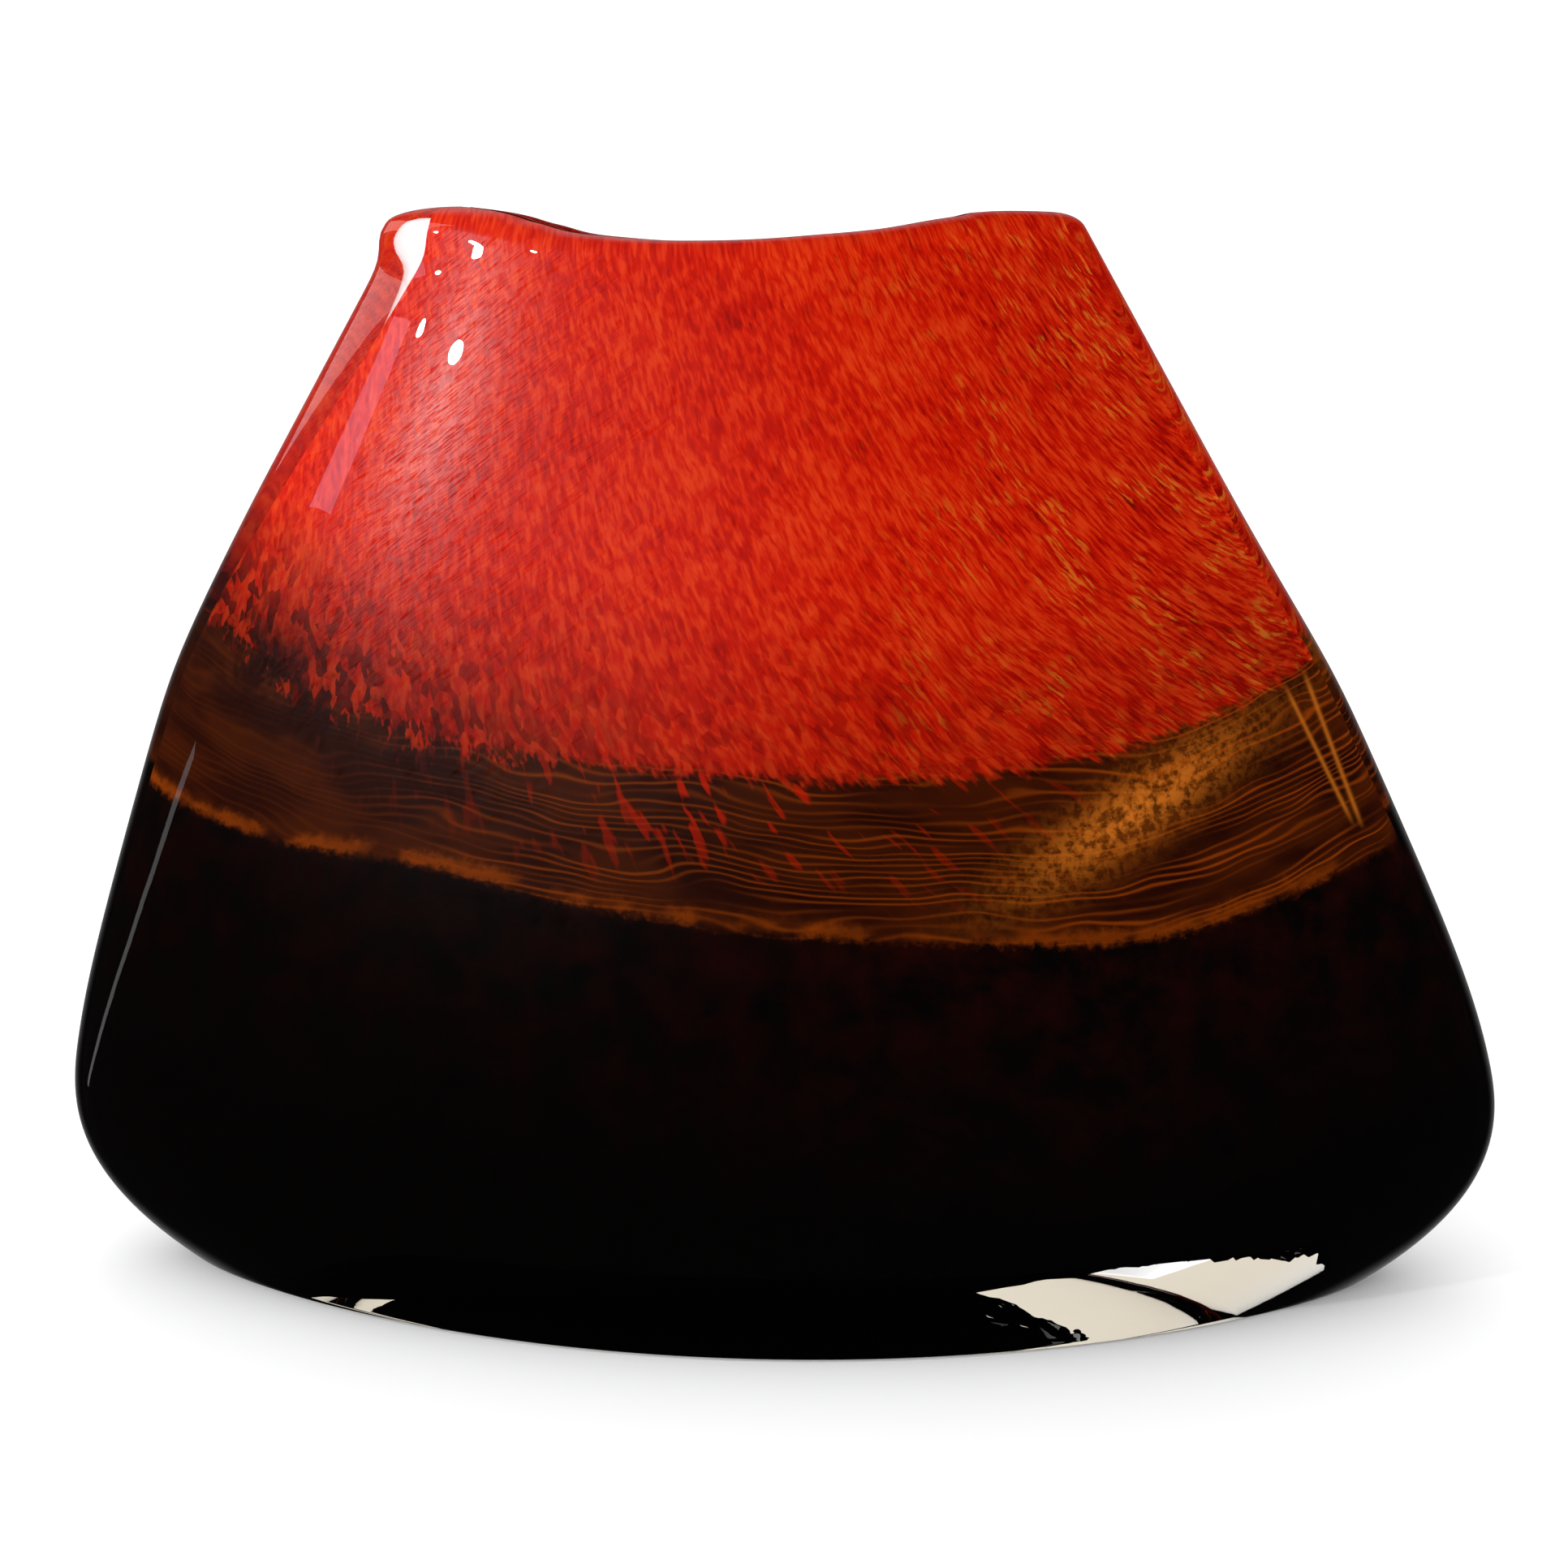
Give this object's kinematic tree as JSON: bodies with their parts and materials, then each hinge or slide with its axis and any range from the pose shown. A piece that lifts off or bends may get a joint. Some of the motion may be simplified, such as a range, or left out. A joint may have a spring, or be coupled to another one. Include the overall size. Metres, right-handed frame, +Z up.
{
  "type": "cased glass vase",
  "caption": "Flattened, bell-fronted vase of heavy cased glass with a narrow sagging mouth, red, amber and black layers under a clear casing, and a flat ground foot.",
  "frame": {"origin": "middle of the flat ground foot, on the surface it stands on", "axes": "+Z up towards the mouth, X along the wide front, Y through the thin depth with the front at -Y"},
  "size_m": [0.3016, 0.1122, 0.2214],
  "materials": {
    "clear_casing": "thick clear glass, fire polished",
    "red_frit": "opaque red and orange frit fused into glass",
    "amber_glass": "dark amber glass with fine drawn bands",
    "black_glass": "opaque black glass with a dark red cast",
    "clear_lining": "clear glass, blown surface"
  },
  "bodies": {
    "root": {"outer_casing": "clear_casing", "red_frit_layer": "red_frit", "amber_band": "amber_glass", "black_layer": "black_glass", "inner_lining": "clear_lining"}
  },
  "joints": []
}
